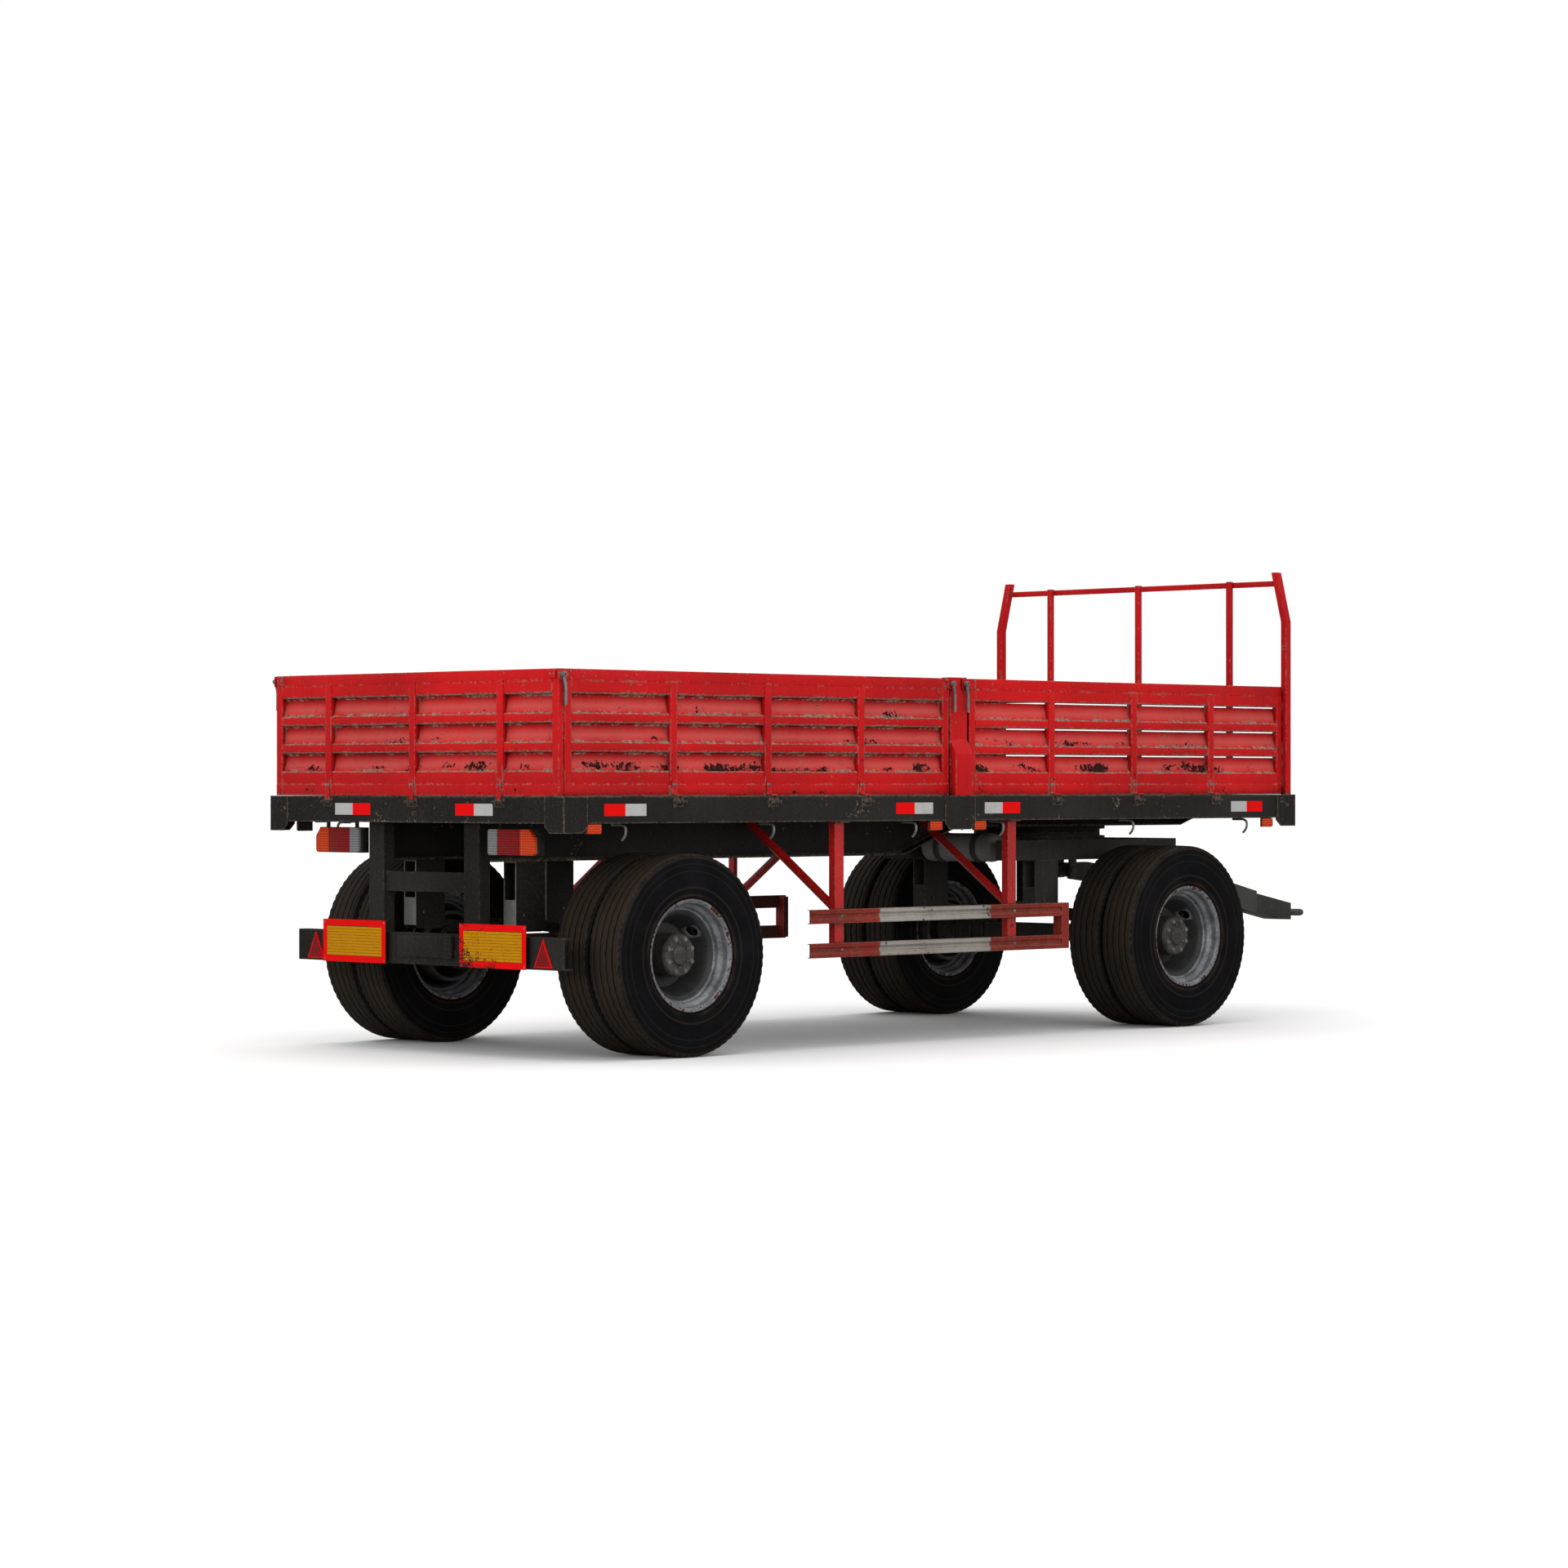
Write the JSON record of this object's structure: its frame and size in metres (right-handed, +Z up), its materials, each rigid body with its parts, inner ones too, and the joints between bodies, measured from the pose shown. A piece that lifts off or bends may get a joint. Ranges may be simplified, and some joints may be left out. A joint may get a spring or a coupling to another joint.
{
  "type": "drop-side drawbar trailer",
  "caption": "Flatbed road trailer with hinged drop sides and tailgate, slatted headboard, twin-tyred axles and a steered front dolly with a towing drawbar.",
  "frame": {"origin": "on the ground, under the middle of the overall length and width", "axes": "+X forward to the towing eye, +Y to the left, +Z up"},
  "size_m": [7.618, 2.456, 2.735],
  "materials": {
    "chassis_paint": "worn satin black",
    "deck_board": "coated board",
    "red_paint": "worn gloss red",
    "reflective_film": "red and white retro-reflective film",
    "amber_lens": "moulded lens",
    "lamp_case": "matte black",
    "red_lens": "moulded lens",
    "marker_film": "ribbed reflective plate",
    "grey_paint": "worn grey",
    "tyre_rubber": "dusty rubber",
    "zinc_steel": "dull galvanised",
    "hub_paint": "dark painted casting"
  },
  "bodies": {
    "chassis": {"main_beams": "chassis_paint", "cross_rails": "chassis_paint", "side_rails": "chassis_paint", "deck": "deck_board", "corner_plates": "chassis_paint", "fixed_posts": "red_paint", "headboard_slats": "red_paint", "hinge_brackets": "chassis_paint", "reflective_tapes": "reflective_film", "side_marker_lamps": "amber_lens", "rope_hooks": "chassis_paint", "tail_lamp_housings": "lamp_case", "tail_lamp_lenses": "red_lens", "underrun_posts": "chassis_paint", "underrun_beam": "chassis_paint", "rear_plates": "marker_film", "side_guard_posts": "red_paint", "side_guard_rails": "red_paint", "rear_axle": "chassis_paint", "rear_springs": "chassis_paint", "rear_spring_hangers": "chassis_paint", "turntable_upper_ring": "chassis_paint"},
    "dolly": {"turntable_lower_ring": "chassis_paint", "dolly_beams": "chassis_paint", "dolly_crossmembers": "chassis_paint", "front_axle": "chassis_paint", "front_springs": "chassis_paint", "dolly_brackets": "chassis_paint", "air_tank": "grey_paint"},
    "drawbar": {"drawbar_arms": "grey_paint", "drawbar_nose": "grey_paint", "towing_eye": "grey_paint"},
    "rear_left_wheels": {"rear_left_tyres": "tyre_rubber", "rear_left_rims": "zinc_steel", "rear_left_hub": "hub_paint"},
    "rear_right_wheels": {"rear_right_tyres": "tyre_rubber", "rear_right_rims": "zinc_steel", "rear_right_hub": "hub_paint"},
    "front_left_wheels": {"front_left_tyres": "tyre_rubber", "front_left_rims": "zinc_steel", "front_left_hub": "hub_paint"},
    "front_right_wheels": {"front_right_tyres": "tyre_rubber", "front_right_rims": "zinc_steel", "front_right_hub": "hub_paint"},
    "rear_left_board": {"rear_left_board_frame": "red_paint", "rear_left_board_sheet": "red_paint"},
    "rear_right_board": {"rear_right_board_frame": "red_paint", "rear_right_board_sheet": "red_paint"},
    "front_left_board": {"front_left_board_frame": "red_paint", "front_left_board_sheet": "red_paint"},
    "front_right_board": {"front_right_board_frame": "red_paint", "front_right_board_sheet": "red_paint"},
    "tailgate": {"tailgate_frame": "red_paint", "tailgate_sheet": "red_paint"},
    "rear_left_corner_lever": {"rear_left_corner_lever": "zinc_steel"},
    "rear_right_corner_lever": {"rear_right_corner_lever": "zinc_steel"},
    "rear_left_post_lever": {"rear_left_post_lever": "zinc_steel"},
    "rear_right_post_lever": {"rear_right_post_lever": "zinc_steel"},
    "front_left_post_lever": {"front_left_post_lever": "zinc_steel"},
    "front_right_post_lever": {"front_right_post_lever": "zinc_steel"}
  },
  "joints": [
    {"name": "turntable", "type": "hinge", "parent": "chassis", "child": "dolly", "pos_m": [1.2065, 0, 1.15], "axis": [0, 0, 1], "range_deg": [-42, 42]},
    {"name": "drawbar_lift", "type": "hinge", "parent": "dolly", "child": "drawbar", "pos_m": [1.909, 0, 0.9], "axis": [0, -1, 0], "range_deg": [0, 20]},
    {"name": "rear_left_spin", "type": "hinge", "parent": "chassis", "child": "rear_left_wheels", "pos_m": [-2.877, 0.9655, 0.5375], "axis": [0, 1, 0], "continuous": true},
    {"name": "rear_right_spin", "type": "hinge", "parent": "chassis", "child": "rear_right_wheels", "pos_m": [-2.877, -0.9655, 0.5375], "axis": [0, 1, 0], "continuous": true},
    {"name": "front_left_spin", "type": "hinge", "parent": "dolly", "child": "front_left_wheels", "pos_m": [1.2065, 0.9655, 0.5375], "axis": [0, 1, 0], "continuous": true},
    {"name": "front_right_spin", "type": "hinge", "parent": "dolly", "child": "front_right_wheels", "pos_m": [1.2065, -0.9655, 0.5375], "axis": [0, 1, 0], "continuous": true},
    {"name": "rear_left_board_drop", "type": "hinge", "parent": "chassis", "child": "rear_left_board", "pos_m": [-2.2915, 1.217, 1.345], "axis": [-1, 0, 0], "range_deg": [0, 178]},
    {"name": "rear_right_board_drop", "type": "hinge", "parent": "chassis", "child": "rear_right_board", "pos_m": [-2.2915, -1.217, 1.345], "axis": [1, 0, 0], "range_deg": [0, 178]},
    {"name": "front_left_board_drop", "type": "hinge", "parent": "chassis", "child": "front_left_board", "pos_m": [0.74, 1.217, 1.345], "axis": [-1, 0, 0], "range_deg": [0, 178]},
    {"name": "front_right_board_drop", "type": "hinge", "parent": "chassis", "child": "front_right_board", "pos_m": [0.74, -1.217, 1.345], "axis": [1, 0, 0], "range_deg": [0, 178]},
    {"name": "tailgate_drop", "type": "hinge", "parent": "chassis", "child": "tailgate", "pos_m": [-3.798, 0, 1.345], "axis": [0, -1, 0], "range_deg": [0, 178]},
    {"name": "rear_left_corner_lever_swing", "type": "hinge", "parent": "rear_left_board", "child": "rear_left_corner_lever", "pos_m": [-3.767, 1.181, 2.004], "axis": [0, 1, 0], "range_deg": [0, 100]},
    {"name": "rear_right_corner_lever_swing", "type": "hinge", "parent": "rear_right_board", "child": "rear_right_corner_lever", "pos_m": [-3.767, -1.181, 2.004], "axis": [0, 1, 0], "range_deg": [0, 100]},
    {"name": "rear_left_post_lever_swing", "type": "hinge", "parent": "rear_left_board", "child": "rear_left_post_lever", "pos_m": [-0.829, 1.181, 2.004], "axis": [0, 1, 0], "range_deg": [0, 100]},
    {"name": "rear_right_post_lever_swing", "type": "hinge", "parent": "rear_right_board", "child": "rear_right_post_lever", "pos_m": [-0.829, -1.181, 2.004], "axis": [0, 1, 0], "range_deg": [0, 100]},
    {"name": "front_left_post_lever_swing", "type": "hinge", "parent": "front_left_board", "child": "front_left_post_lever", "pos_m": [-0.721, 1.181, 2.004], "axis": [0, -1, 0], "range_deg": [0, 100]},
    {"name": "front_right_post_lever_swing", "type": "hinge", "parent": "front_right_board", "child": "front_right_post_lever", "pos_m": [-0.721, -1.181, 2.004], "axis": [0, -1, 0], "range_deg": [0, 100]}
  ]
}
